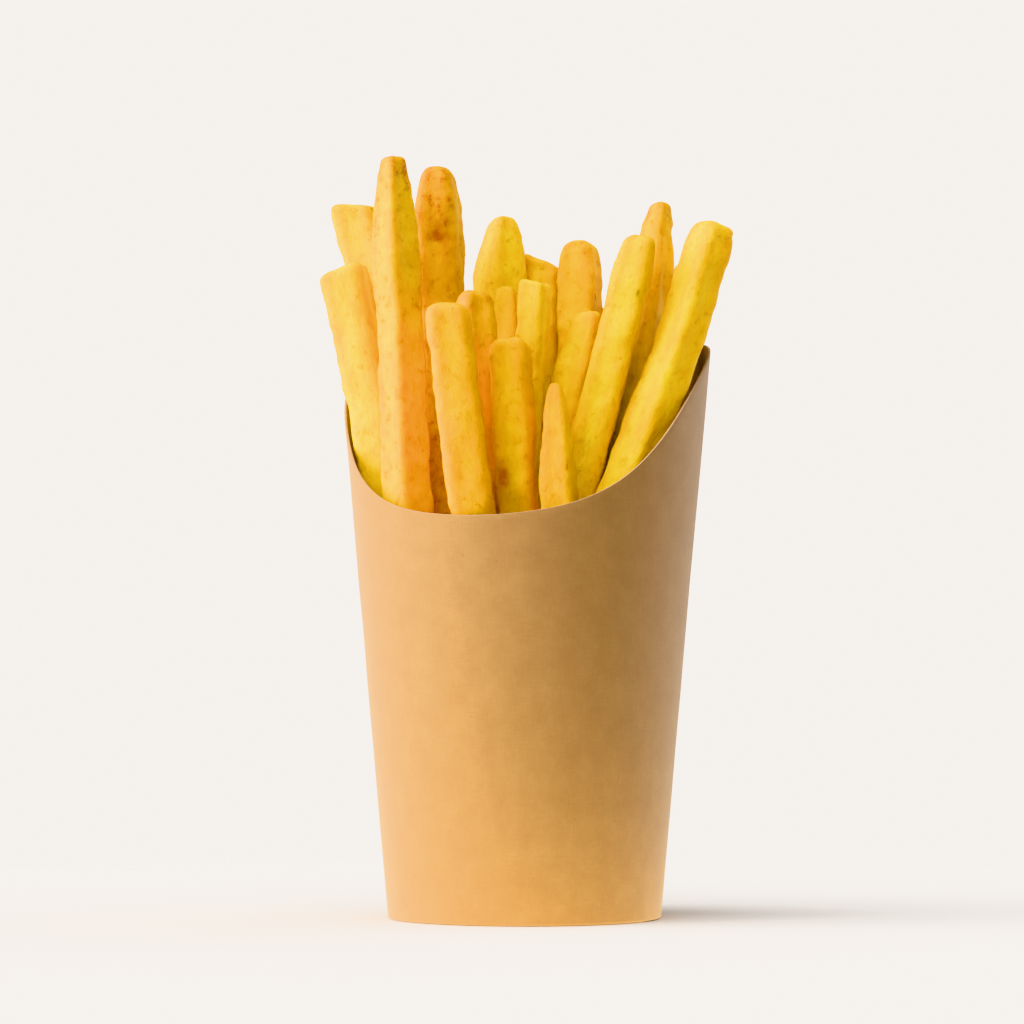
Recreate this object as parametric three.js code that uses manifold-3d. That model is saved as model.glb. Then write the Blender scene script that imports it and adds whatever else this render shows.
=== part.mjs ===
// A paper scoop cup heaped with straight-cut fries. Millimetres, +Z up.
// The origin is the middle of the foot, on the surface the cup stands on. The low lip of
// the scoop faces -Y, and the high back with its lap seam faces +Y. Azimuths are in
// degrees round +Z, from the low lip (0) towards +X (90).

import * as THREE from 'three';
import { mergeVertices } from 'three/addons/utils/BufferGeometryUtils.js';
import Module from 'manifold-3d';

const wasm = await Module();
wasm.setup();

// ---- the cup's driving dimensions

const footRadius = 31.2;
const wallSlope = Math.tan(THREE.MathUtils.degToRad(5.17));
const boardThickness = 0.5;
const lipHeight = 90.3;
const backHeight = 134.3;
const scoopSteepness = 3.6;
const scoopShoulder = 0.378;
const hemHeight = 6.3;
const baseHeight = 7.2;
const foldBevel = 0.35;
const lapWidth = 9;
const lapStep = 0.35;
const lapRamp = 0.4;
const wallSegments = 72;
const gap = 0.3;

// ---- the heap's driving dimensions

const coreTop = 82;
const coreSwell = 3;
const coreShoulder = 0.75;
const friesFoot = 79;
const mouthHeight = 92;
const cornerBevel = 1.3;
const edgeRounding = 1.6;
const slantReach = 6;
const shaftStations = [1, 0.62, 0.3];
const roundedParts = [1, 0.29, 0];

// The fries that fill the heap between the ones placed by hand: tall ones, then short ones
// in the gaps that are left. They stand on a lattice, clear of the fries already there and
// behind the front row.
const tallFiller = {
  spacing: 10.2,
  reach: 31,
  clearance: 8.4,
  fan: 1.24,
  sway: 3.5,
  lowest: 124,
  rise: 21,
  thinnest: 8.4,
  spare: 1.6,
};
const shortFiller = {
  spacing: 2.6,
  reach: 33,
  clearance: 8,
  fan: 1.1,
  sway: 1.5,
  lowest: 99,
  rise: 15,
  thinnest: 7.4,
  spare: 1,
};
const fillerFront = -22;
const fillerFlatten = 0.6;
const fillerBow = 1.4;
const fillerSlant = 3;

// One irrational share for each way in which the filling fries differ.
const share = {
  swayX: 0.6180339,
  swayY: 0.7548777,
  size: 0.5698403,
  depth: 0.3247179,
  height: 0.4142135,
  face: 0.7320508,
  bow: 0.8392867,
  slant: 0.2360679,
};

// How the heap settles: rounds of pushing, on levels from friesFoot to settleTop.
const settleRounds = 60;
const settleStep = 9;
const settleTop = 174;
const tangleTop = 84;
const placedGive = 0.12;
const wallClearance = 0.45;

// The fries placed by hand. mouth: azimuth and distance from the cup's axis at
// mouthHeight. tip: azimuth, distance and height. size: width and depth of the section.
// face: azimuth that a flat side looks to. bow: how far the middle arches. point: length
// of a tapered tip and its end's share of the size. round: how far the end's edge is
// rounded. slant: drop across a cut end.
const standingFries = [
  { mouth: [-67, 33.4], tip: [-74, 42.2, 147.2], size: [10, 9.2], face: -6, bow: -0.4, slant: -3.6 },
  { mouth: [-79, 21.6], tip: [-90, 42.5, 165.6], size: [10.6, 9.2], face: -4, slant: 0.6 },
  { mouth: [-38, 32.4], tip: [-46, 34.1, 172.7], size: [8.6, 8.6], face: -34, bow: 0.2,
    point: [22, 0.3], round: 1 },
  { mouth: [-44, 20.2], tip: [-60, 20.8, 172.1], size: [10, 9], face: 2, point: [10, 0.5], round: 2.3 },
  { mouth: [1, 32.5], tip: [-9, 40.7, 136.9], size: [9.8, 9.2], face: 16, bow: 0.6,
    point: [3, 0.85], round: 2.2 },
  { mouth: [-5, 22.5], tip: [-9, 26.4, 141.8], size: [8.6, 8.6], face: 40, point: [10, 0.6],
    round: 2, slant: 1 },
  { mouth: [16, 28], tip: [11, 31.1, 129.8], size: [8.6, 8.8], face: 2, point: [4, 0.8], round: 2.2 },
  { mouth: [28, 33], tip: [26, 33.5, 119.6], size: [9.8, 9.2], face: 0, point: [40, 0.1], round: 0.35 },
  { mouth: [48, 15.3], tip: [82, 19.8, 137.2], size: [9, 9], face: -10, point: [12, 0.55],
    round: 2, slant: -2.5 },
  { mouth: [50, 24.7], tip: [81, 26.4, 155.5], size: [9, 8.6], face: 8, point: [10, 0.7],
    round: 2, slant: 0.8 },
  { mouth: [54, 33], tip: [96, 50.8, 160.6], size: [9.6, 9.8], face: -30, bow: 1.2,
    point: [9, 0.62], round: 2.8, slant: 2.6 },
  { mouth: [78, 25.5], tip: [104, 31.6, 164.4], size: [9.2, 8.4], face: -20, point: [18, 0.3], round: 1.2 },
  { mouth: [90, 13], tip: [115, 13.6, 156.4], size: [9.4, 9.4], face: -6, point: [8, 0.6], round: 2.6 },
  { mouth: [-67, 8.7], tip: [-139, 9.9, 162.6], size: [10, 9.8], face: -45, point: [14, 0.2], round: 0.8 },
  { mouth: [124, 3.2], tip: [-180, 13.5, 154.5], size: [9, 9], face: 4, slant: 3.5 },
  { mouth: [-6, 11.9], tip: [-31, 5.8, 144.4], size: [6.6, 6.6], face: 10, point: [20, 0.45], round: 1.2 },
  { mouth: [12, 18], tip: [29, 12.8, 145.2], size: [6, 5.6], face: -11, round: 1.2, slant: 1 },
  { mouth: [-129, 24.4], tip: [-128, 34.8, 158.1], size: [9.2, 9], face: 20, slant: 1.5 },
  { mouth: [172, 21.9], tip: [172, 31.7, 149.9], size: [9.4, 9], face: -20, point: [5, 0.8], round: 2.4 },
  { mouth: [137, 25.6], tip: [148, 37.3, 156], size: [8.8, 9.2], face: 30, slant: 2 },
  { mouth: [112, 30.6], tip: [120, 42.8, 151.8], size: [9, 9], face: 10, point: [8, 0.6], round: 2 },
  { mouth: [-100, 30], tip: [-105, 43.1, 154.5], size: [9.6, 9], face: -30, slant: 1 },
];

// ---- small helpers

const { degToRad, radToDeg } = THREE.MathUtils;

// A point on the circle of the given radius, at an azimuth.
function polar(azimuth, radius) {
  return [radius * Math.sin(degToRad(azimuth)), -radius * Math.cos(degToRad(azimuth))];
}

function azimuthOf(x, y) {
  return radToDeg(Math.atan2(x, -y));
}

// Evenly spread numbers from 0 to 1: the fractions of an irrational share's multiples.
function spread(index, irrational) {
  return (index * irrational) % 1;
}

function outerRadius(height) {
  return footRadius + wallSlope * height;
}

function innerRadius(height) {
  return outerRadius(height) - boardThickness;
}

// The scoop's cut edge: low and flat at the lip, rising in one S-curve to the back.
function rimHeight(azimuth) {
  const curve = (at) => 1 / (1 + Math.exp(scoopSteepness * (Math.cos(degToRad(at)) - scoopShoulder)));
  const rise = (curve(azimuth) - curve(0)) / (curve(180) - curve(0));
  return lipHeight + (backHeight - lipHeight) * rise;
}

// A closed surface from rings of points that all have the same count. Rings join one to
// the next, and caps close the two ends unless the last ring joins back to the first.
function skin(rings, joinsBack) {
  const count = rings[0].length;
  const points = rings.flat(2);
  const faces = [];
  const spans = joinsBack ? rings.length : rings.length - 1;
  for (let i = 0; i < spans; i += 1) {
    const low = i * count;
    const high = ((i + 1) % rings.length) * count;
    for (let j = 0; j < count; j += 1) {
      const k = (j + 1) % count;
      faces.push(low + j, low + k, high + k, low + j, high + k, high + j);
    }
  }
  if (!joinsBack) {
    const last = (rings.length - 1) * count;
    for (let j = 1; j < count - 1; j += 1) {
      faces.push(0, j + 1, j, last, last + j, last + j + 1);
    }
  }
  const geometry = new THREE.BufferGeometry();
  geometry.setAttribute('position', new THREE.Float32BufferAttribute(points, 3));
  geometry.setIndex(faces);
  return geometry;
}

// A solid of revolution round the cup's axis, from [radius, height] points.
function turned(profile) {
  const points = profile.map(([radius, height]) => new THREE.Vector2(radius, height));
  const lathe = new THREE.LatheGeometry(points, wallSegments);
  lathe.rotateX(Math.PI / 2);
  return toSolid(lathe);
}

function toSolid(geometry) {
  const plain = geometry.clone();
  plain.deleteAttribute('normal');
  plain.deleteAttribute('uv');
  const merged = mergeVertices(plain, 1e-5);
  const mesh = new wasm.Mesh({
    numProp: 3,
    vertProperties: Float32Array.from(merged.attributes.position.array),
    triVerts: Uint32Array.from(merged.index.array),
  });
  return new wasm.Manifold(mesh);
}

function toGeometry(solid) {
  const mesh = solid.getMesh();
  const geometry = new THREE.BufferGeometry();
  geometry.setAttribute('position', new THREE.BufferAttribute(mesh.vertProperties, 3));
  geometry.setIndex(new THREE.BufferAttribute(mesh.triVerts, 1));
  return geometry;
}

// ---- the paper cup

// One board section: up the outside to the cut rim, down the inside, and round the foot
// into the hem that grips the base's skirt. relief: how far the outside stands proud.
function wallSection(azimuth, relief) {
  const rim = rimHeight(azimuth);
  const channel = 2 * gap + boardThickness;
  const hemOuter = (height) => innerRadius(height) - channel;
  const hemInner = (height) => hemOuter(height) - boardThickness;
  return [
    [hemInner(0) + foldBevel, 0],
    [footRadius - foldBevel, 0],
    [outerRadius(foldBevel) + relief, foldBevel],
    [outerRadius(rim) + relief, rim],
    [innerRadius(rim), rim],
    [innerRadius(boardThickness), boardThickness],
    [hemOuter(boardThickness), boardThickness],
    [hemOuter(hemHeight), hemHeight],
    [hemInner(hemHeight), hemHeight],
    [hemInner(foldBevel), foldBevel],
  ];
}

// The wall is a ring of sections. The board's outer edge laps over at the back, so the
// outside stands a step proud between the lap's two edges.
function cupWall() {
  const lapHalf = radToDeg(lapWidth / 2 / outerRadius(backHeight / 2));
  const lapFoot = lapHalf + lapRamp;
  const sections = [[-lapFoot, 0], [-lapHalf, lapStep], [0, lapStep], [lapHalf, lapStep], [lapFoot, 0]]
    .map(([offset, relief]) => [180 + offset, relief]);
  for (let i = 0; i < wallSegments; i += 1) {
    const azimuth = (360 * i) / wallSegments;
    if (Math.abs(azimuth - 180) > lapFoot) {
      sections.push([azimuth, 0]);
    }
  }
  sections.sort((a, b) => b[0] - a[0]);
  const rings = sections.map(([azimuth, relief]) =>
    wallSection(azimuth, relief).map(([radius, height]) => [...polar(azimuth, radius), height]));
  return skin(rings, true);
}

// The base is a disc with its edge turned down into the wall's hem.
function cupBase() {
  const skirtOuter = (height) => innerRadius(height) - gap;
  const skirtInner = (height) => skirtOuter(height) - boardThickness;
  const skirtFoot = boardThickness + gap;
  const ceiling = baseHeight - boardThickness;
  return toGeometry(turned([
    [0, ceiling],
    [skirtInner(ceiling), ceiling],
    [skirtInner(skirtFoot), skirtFoot],
    [skirtOuter(skirtFoot), skirtFoot],
    [skirtOuter(baseHeight), baseHeight],
    [0, baseHeight],
  ]));
}

// ---- one fry

// A fry's section: a rectangle with bevelled corners and one side to the fry's face
// azimuth, shrunk to a share of the fry's size.
function section(fry, shrink) {
  const across = polar(fry.face + 90, 1);
  const outward = polar(fry.face, 1);
  const w = (fry.size[0] / 2) * shrink;
  const d = (fry.size[1] / 2) * shrink;
  const b = cornerBevel * shrink;
  const corners = [[w - b, -d], [w, b - d], [w, d - b], [w - b, d], [b - w, d], [-w, d - b],
    [-w, b - d], [b - w, -d]];
  return corners.map(([u, v]) => [
    u * across[0] - v * outward[0],
    u * across[1] - v * outward[1],
  ]);
}

// The middle of a fry at a height: a straight lean from mouth to tip, arched by its bow.
function axisAt(fry, height) {
  const along = (height - mouthHeight) / (fry.top - mouthHeight);
  const [archX, archY] = polar(fry.tip[0], 4 * along * (1 - along) * fry.bow);
  return [
    fry.low[0] + (fry.high[0] - fry.low[0]) * along + archX,
    fry.low[1] + (fry.high[1] - fry.low[1]) * along + archY,
  ];
}

// How far a fry's section reaches from its middle in a level direction.
function reach(fry, direction) {
  return Math.max(...fry.outline.map(([x, y]) => x * direction[0] + y * direction[1]));
}

function makeFry(fields) {
  const fry = { bow: 0, point: [0, 1], round: edgeRounding, slant: 0, ...fields };
  fry.low = polar(...fry.mouth);
  fry.high = polar(fry.tip[0], fry.tip[1]);
  fry.top = fry.tip[2];
  fry.outline = section(fry, 1);
  return fry;
}

// The share of a fry's section that is left at a distance below its tip: a long taper
// where it has one, and a rounded cut edge.
function tipShare(fry, below) {
  const [length, end] = fry.point;
  const taper = below < length ? end + (1 - end) * Math.sqrt(below / length) : 1;
  const lift = Math.max(0, fry.round - below);
  const edge = fry.round - Math.sqrt(fry.round ** 2 - lift ** 2);
  return taper - (2 * edge) / fry.size[0];
}

function frySolid(fry) {
  const length = fry.top - friesFoot;
  const shaft = shaftStations.map((part) => part * length);
  const stations = [...shaft, slantReach, ...roundedParts.map((part) => part * fry.round)];
  const rings = stations.map((below) => {
    const height = fry.top - below;
    const [x, y] = axisAt(fry, height);
    const drop = fry.slant * Math.max(0, 1 - below / slantReach);
    const level = section(fry, tipShare(fry, below));
    return level.map(([u, v]) => [x + u, y + v, height - drop * (0.5 + u / fry.size[0])]);
  });
  return toSolid(skin(rings, false));
}

// ---- the heap

// One filling fry on its lattice point. It leans out with its place, a little unevenly.
function fillerFry(kind, x, y, index) {
  const sway = (irrational) => (2 * spread(index, irrational) - 1) * kind.sway;
  const tipX = x * kind.fan + sway(share.swayX);
  const tipY = y * kind.fan + sway(share.swayY);
  const width = kind.thinnest + kind.spare * spread(index, share.size);
  return makeFry({
    mouth: [azimuthOf(x, y), Math.hypot(x, y)],
    tip: [
      azimuthOf(tipX, tipY),
      Math.hypot(tipX, tipY),
      kind.lowest + kind.rise * spread(index, share.height),
    ],
    size: [width, width - fillerFlatten + spread(index, share.depth)],
    face: 90 * spread(index, share.face),
    bow: fillerBow * (2 * spread(index, share.bow) - 1),
    slant: fillerSlant * spread(index, share.slant),
    gives: 1,
  });
}

// Adds fries of one kind to the heap: a triangular lattice over the cup's mouth behind the
// front row, left out where a fry already is.
function addFillers(fries, kind) {
  const rowStep = kind.spacing * Math.sin(Math.PI / 3);
  const rows = Math.ceil(kind.reach / rowStep);
  const already = fries.length;
  for (let row = -rows; row <= rows; row += 1) {
    const shift = row % 2 === 0 ? 0 : kind.spacing / 2;
    for (let column = -rows; column <= rows; column += 1) {
      const x = column * kind.spacing + shift;
      const y = row * rowStep;
      const taken = fries.some((fry) => Math.hypot(fry.low[0] - x, fry.low[1] - y) < kind.clearance);
      if (Math.hypot(x, y) <= kind.reach && y > fillerFront && !taken) {
        fries.push(fillerFry(kind, x, y, fries.length - already + 1));
      }
    }
  }
}

// Moves a fry at a height, as a lever from mouth to tip.
function push(fry, height, x, y) {
  const along = THREE.MathUtils.clamp((height - mouthHeight) / (fry.top - mouthHeight), 0, 1);
  fry.low[0] += x * (1 - along);
  fry.low[1] += y * (1 - along);
  fry.high[0] += x * along;
  fry.high[1] += y * along;
}

// Keeps each corner of a fry inside the paper wall, up to the scoop's edge next to it.
function keepInside(fry, height) {
  fry.outline.forEach(([u, v]) => {
    const [x, y] = axisAt(fry, height);
    const rim = rimHeight(azimuthOf(x + u, y + v));
    const level = Math.min(height, rim);
    const [levelX, levelY] = axisAt(fry, level);
    const over = Math.hypot(levelX + u, levelY + v) - (innerRadius(level) - wallClearance);
    if (over > 0 && height < rim + settleStep) {
      const radius = Math.hypot(levelX, levelY);
      push(fry, level, (-levelX / radius) * over, (-levelY / radius) * over);
    }
  });
}

// Pushes two fries apart at a height until their sections only touch.
function keepApart(one, other, height) {
  const [ax, ay] = axisAt(one, height);
  const [bx, by] = axisAt(other, height);
  const distance = Math.hypot(bx - ax, by - ay) || 1;
  const way = [(bx - ax) / distance, (by - ay) / distance];
  const overlap = reach(one, way) + reach(other, [-way[0], -way[1]]) - distance;
  if (overlap > 0) {
    const unit = overlap / (one.gives + other.gives);
    push(one, height, -way[0] * unit * one.gives, -way[1] * unit * one.gives);
    push(other, height, way[0] * unit * other.gives, way[1] * unit * other.gives);
  }
}

// Lets the heap settle: fries that overlap at any level push each other aside, and the
// wall holds them in. The placed fries hardly move.
function settle(fries) {
  for (let round = 0; round < settleRounds; round += 1) {
    for (let height = friesFoot; height < settleTop; height += settleStep) {
      const here = fries.filter((fry) => fry.top > height);
      if (height > tangleTop) {
        here.forEach((fry, i) => here.slice(i + 1).forEach((other) => keepApart(fry, other, height)));
      }
      here.forEach((fry) => keepInside(fry, height));
    }
  }
}

// The packed middle of the heap, a plug that fills the cup under the fries that show.
function coreSolid() {
  const foot = baseHeight + gap;
  const shoulder = coreTop - coreSwell;
  return turned([
    [0, foot],
    [innerRadius(foot) - gap, foot],
    [innerRadius(shoulder) - gap, shoulder],
    [innerRadius(coreTop) * coreShoulder, coreTop],
    [0, coreTop + coreSwell],
  ]);
}

// Core and fries fused. Only the outer shell is kept, so small voids that the fusing
// seals are filled.
function friesHeap() {
  const fries = standingFries.map((fields) => makeFry({ ...fields, gives: placedGive }));
  addFillers(fries, tallFiller);
  settle(fries);
  addFillers(fries, shortFiller);
  settle(fries);
  const heap = fries.map(frySolid).reduce((sum, fry) => sum.add(fry), coreSolid());
  const shells = heap.decompose().sort((a, b) => b.volume() - a.volume());
  return toGeometry(shells[0]);
}

// ---- the object

function part(name, geometry, color, roughness) {
  const material = new THREE.MeshStandardMaterial({ color, roughness, metalness: 0 });
  const mesh = new THREE.Mesh(geometry, material);
  mesh.name = name;
  return mesh;
}

const scoopCup = new THREE.Group();
scoopCup.add(
  part('cup_wall', cupWall(), '#cf9d5e', 0.85),
  part('cup_base', cupBase(), '#c9975a', 0.85),
  part('fries', friesHeap(), '#f2b32c', 0.6),
);

export default scoopCup;
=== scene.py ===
# A kraft paper scoop cup heaped with straight-cut fries.
# The frame is in metres, +Z up, with the middle of the cup's foot at the origin and the low
# lip of the scoop towards -Y. Shapes are worked out in millimetres, and meshOf turns them
# to metres. Azimuths are in degrees round +Z, from the lip (0) towards +X (90).
import math
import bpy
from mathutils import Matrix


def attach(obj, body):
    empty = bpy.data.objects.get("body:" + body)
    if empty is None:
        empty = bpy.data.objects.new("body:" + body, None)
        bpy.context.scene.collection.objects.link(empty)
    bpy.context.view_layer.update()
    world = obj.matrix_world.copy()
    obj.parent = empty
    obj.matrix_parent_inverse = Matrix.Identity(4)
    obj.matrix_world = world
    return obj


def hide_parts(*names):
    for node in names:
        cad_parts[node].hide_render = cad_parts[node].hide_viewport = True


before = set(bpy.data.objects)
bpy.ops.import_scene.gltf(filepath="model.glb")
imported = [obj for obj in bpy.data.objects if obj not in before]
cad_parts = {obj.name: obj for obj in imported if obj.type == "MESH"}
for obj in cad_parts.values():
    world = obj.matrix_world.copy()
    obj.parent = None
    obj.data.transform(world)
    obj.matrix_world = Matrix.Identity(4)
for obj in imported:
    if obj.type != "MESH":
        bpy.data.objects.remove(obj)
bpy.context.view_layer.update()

from types import SimpleNamespace

import bpy
import numpy as np
from mathutils import Vector

mm = 0.001
scene = bpy.context.scene


# A point on a circle round the cup's axis: (r sin a, -r cos a).
def polar(azimuth, radius):
    a = np.radians(azimuth)
    return np.stack([radius * np.sin(a), -radius * np.cos(a)], -1)


# The azimuth of a point: atan2(x, -y).
def azimuthOf(x, y):
    return math.degrees(math.atan2(x, -y))


# Evenly spread numbers from 0 to 1: the fractions of an irrational share's multiples.
def spread(index, irrational):
    return (index * irrational) % 1


# A smooth step from 0 to 1 as the value goes from low to high: t^2 (3 - 2t).
def ramp(value, low, high):
    t = np.clip((value - low) / (high - low), 0, 1)
    return t * t * (3 - 2 * t)


# Smooth bumps from -1 to 1 at points in mm: hashed values at the corners of a grid of the
# given size, blended by t^2 (3 - 2t) along each axis.
def bumps(points, size, seed):
    scaled = points / size
    cell = np.floor(scaled)
    t = scaled - cell
    t = t * t * (3 - 2 * t)
    cell = cell.astype(np.int64)
    total = np.zeros(points.shape[:-1])
    for corner in np.ndindex(2, 2, 2):
        key = (cell + corner) @ np.array([73856093, 19349663, 83492791]) + seed * 7919
        key = (key ^ (key >> 13)) * 1274126177
        value = ((key ^ (key >> 16)) & 0xFFFF) / 32767.5 - 1
        total += value * np.prod(np.where(np.array(corner) == 1, t, 1 - t), -1)
    return total


# Bumps that change with height alone, and differ from one offset to the next.
def bumpsUp(height, offset, size, seed):
    return bumps(np.stack(np.broadcast_arrays(height, offset, 0.0), -1), size, seed)


# Quads between the rows of a grid whose columns close on themselves. The rows close too
# if joinsBack.
def ringFaces(rows, columns, joinsBack=False):
    row = np.arange(rows if joinsBack else rows - 1)[:, None]
    column = np.arange(columns)[None, :]
    low, high = row * columns, (row + 1) % rows * columns
    following = (column + 1) % columns
    quads = np.stack([low + column, low + following, high + following, high + column], -1)
    return quads.reshape(-1, 4)


# Triangles from a ring of points, starting at first, to one point over its middle.
def capFaces(first, columns, middle):
    column = np.arange(columns)
    return np.stack([first + column, first + (column + 1) % columns, np.full(columns, middle)], -1)


# A mesh object from points in mm, arrays of faces, and values for each point by name.
def meshOf(name, points, faces, values, material):
    mesh = bpy.data.meshes.new(name)
    corners = np.concatenate([f.ravel() for f in faces])
    sizes = np.concatenate([np.full(len(f), f.shape[1]) for f in faces])
    mesh.vertices.add(len(points))
    mesh.vertices.foreach_set("co", (points * mm).astype(np.float32).ravel())
    mesh.loops.add(len(corners))
    mesh.loops.foreach_set("vertex_index", corners.astype(np.int32))
    mesh.polygons.add(len(sizes))
    mesh.polygons.foreach_set("loop_start", (np.cumsum(sizes) - sizes).astype(np.int32))
    mesh.polygons.foreach_set("use_smooth", np.ones(len(sizes), bool))
    for key, value in values.items():
        vector = value.ndim > 1
        attribute = mesh.attributes.new(key, "FLOAT_VECTOR" if vector else "FLOAT", "POINT")
        flat = value.astype(np.float32).ravel()
        attribute.data.foreach_set("vector" if vector else "value", flat)
    mesh.update(calc_edges=True)
    mesh.validate()
    mesh.materials.append(material)
    made = bpy.data.objects.new(name, mesh)
    scene.collection.objects.link(made)
    return made


# Several (points, faces, values) skins as one.
def joined(skins):
    counts = [len(points) for points, _, _ in skins]
    starts = np.cumsum([0] + counts[:-1])
    faces = [f + start for start, (_, lots, _) in zip(starts, skins) for f in lots]
    values = {key: np.concatenate([skin[2][key] for skin in skins]) for key in skins[0][2]}
    return np.concatenate([skin[0] for skin in skins]), faces, values


# sRGB hex to linear RGBA: c / 12.92 up to 0.04045, else ((c + 0.055) / 1.055) ^ 2.4.
def linear(hexColour):
    c = np.array([int(hexColour[i:i + 2], 16) for i in (1, 3, 5)]) / 255
    return (*np.where(c <= 0.04045, c / 12.92, ((c + 0.055) / 1.055) ** 2.4).tolist(), 1)


# Adds a node. inputs takes values, or sockets to link from, by name or number, and stops
# fills a colour ramp.
def addNode(tree, kind, inputs=None, stops=None, **settings):
    made = tree.nodes.new("ShaderNode" + kind)
    for key, value in settings.items():
        setattr(made, key, value)
    for key, value in (inputs or {}).items():
        if isinstance(value, bpy.types.NodeSocket):
            tree.links.new(value, made.inputs[key])
        else:
            made.inputs[key].default_value = value
    if stops:
        elements = made.color_ramp.elements
        while len(elements) < len(stops):
            elements.new(1)
        for element, (place, colour) in zip(elements, stops):
            element.position = place
            element.color = linear(colour)
    return made


# A new material with its shader's constants set, and its node tree.
def newMaterial(name, **constants):
    material = bpy.data.materials.new(name)
    material.use_nodes = True
    shader = material.node_tree.nodes["Principled BSDF"]
    for key, value in constants.items():
        shader.inputs[key.replace("_", " ")].default_value = value
    return material, material.node_tree, shader


# Unbleached kraft board, about 350 g per square metre, uncoated: pressed wood fibres that
# scatter light softly, with cloudy patches, fine pale and dark strokes and a few specks.
kraft = {
    "deep": "#946B37", "body": "#99713C", "pale": "#9F7741",
    "speck": "#76532D", "cutEdge": "#AC8A66",
    "cloud": 6.0,              # mm across a patch of denser fibre
    "fibreWidth": 0.4,         # mm, real fibres are 0.03 and wouldn't show
    "fibreLength": 2.6,        # mm
    "cloudShare": 0.55, "fibreShare": 0.22,    # of the tone
    "speckSpacing": 5.0,       # mm
    "speckStrength": 0.5,
    "relief": 0.03,            # mm
}


# Tone = share x clouds + share x two lots of strokes, through three browns. Specks lie over
# it, and the cut edge is pale.
def kraftBoard():
    material, tree, shader = newMaterial(
        "kraft_board", Roughness=0.82, IOR=1.5, Sheen_Weight=0.25, Sheen_Roughness=0.5)
    grain = addNode(tree, "Attribute", attribute_name="grain").outputs["Vector"]
    cut = addNode(tree, "Attribute", attribute_name="cut").outputs["Fac"]
    clouds = addNode(tree, "TexNoise", {
        "Vector": grain, "Scale": 1 / kraft["cloud"], "Detail": 5, "Roughness": 0.62,
    })
    # strokes run mostly up the cup, with a second lot across them
    width, length = 1 / kraft["fibreWidth"], 1 / kraft["fibreLength"]
    upright = addNode(tree, "Mapping", {"Vector": grain, "Scale": (width, 1, length)})
    leaning = addNode(tree, "Mapping", {
        "Vector": grain, "Rotation": (0, 0.9, 0), "Scale": (length, 1, width),
    })
    strokes = [
        addNode(tree, "TexNoise", {
            "Vector": way.outputs[0], "Scale": 1, "Detail": 3, "Distortion": 0.6,
        }).outputs["Fac"]
        for way in (upright, leaning)
    ]
    fibres = addNode(tree, "Math", {0: strokes[0], 1: strokes[1]}, operation="ADD")
    weak = addNode(tree, "Math", {
        0: fibres.outputs[0], 1: kraft["fibreShare"],
    }, operation="MULTIPLY")
    mixed = addNode(tree, "Math", {
        0: clouds.outputs["Fac"], 1: kraft["cloudShare"], 2: weak.outputs[0],
    }, operation="MULTIPLY_ADD")
    tone = addNode(tree, "ValToRGB", {"Fac": mixed.outputs[0]}, stops=[
        (0.38, kraft["deep"]), (0.5, kraft["body"]), (0.62, kraft["pale"]),
    ])
    specks = addNode(tree, "TexVoronoi", {"Vector": grain, "Scale": 1 / kraft["speckSpacing"]})
    dots = addNode(tree, "MapRange", {
        "Value": specks.outputs["Distance"], "From Min": 0.03, "From Max": 0.055,
        "To Min": kraft["speckStrength"], "To Max": 0.0,
    })
    specked = addNode(tree, "Mix", {
        0: dots.outputs[0], 6: tone.outputs["Color"], 7: linear(kraft["speck"]),
    }, data_type="RGBA")
    edged = addNode(tree, "Mix", {
        0: cut, 6: specked.outputs[2], 7: linear(kraft["cutEdge"]),
    }, data_type="RGBA")
    tree.links.new(edged.outputs[2], shader.inputs["Base Color"])
    relief = addNode(tree, "Bump", {
        "Height": mixed.outputs[0], "Strength": 0.5, "Distance": kraft["relief"] * mm,
    })
    tree.links.new(relief.outputs["Normal"], shader.inputs["Normal"])
    return material


# Deep-fried potato: a thin dry crust, blistered and pitted, with a film of oil on it. The
# flesh under it lets light through, which softens the shaded sides.
potato = {
    "pale": "#F3D536", "golden": "#EEC014", "orange": "#E6A402",
    # the pit colour is painted shade in the pits
    "edge": "#E5A908", "pitShade": "#D08208", "brown": "#B86604", "dark": "#6E3C0E",
    "mottle": 5.0,             # mm across a patch of lighter or darker crust
    "mottleShare": 0.9,        # of the way from pale to orange
    "blister": 2.2,            # mm across the blisters that brown first
    "blisterBrown": 0.3, "blisterHeight": 0.8,
    "pits": 1.1,               # mm between the pits that steam leaves
    # the pits are darkened by this much painted shade
    "pitShadeDepth": 0.3,           # how much darker they are
    "alongScale": 0.55,        # stretches pits and specks along the fry
    "speckSpacing": 11.0,      # mm between dark specks
    "speckStrength": 0.6,
    "dull": 0.66, "oily": 0.46,    # roughness in the pits and between them
    "relief": 0.3,             # mm
}
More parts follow.
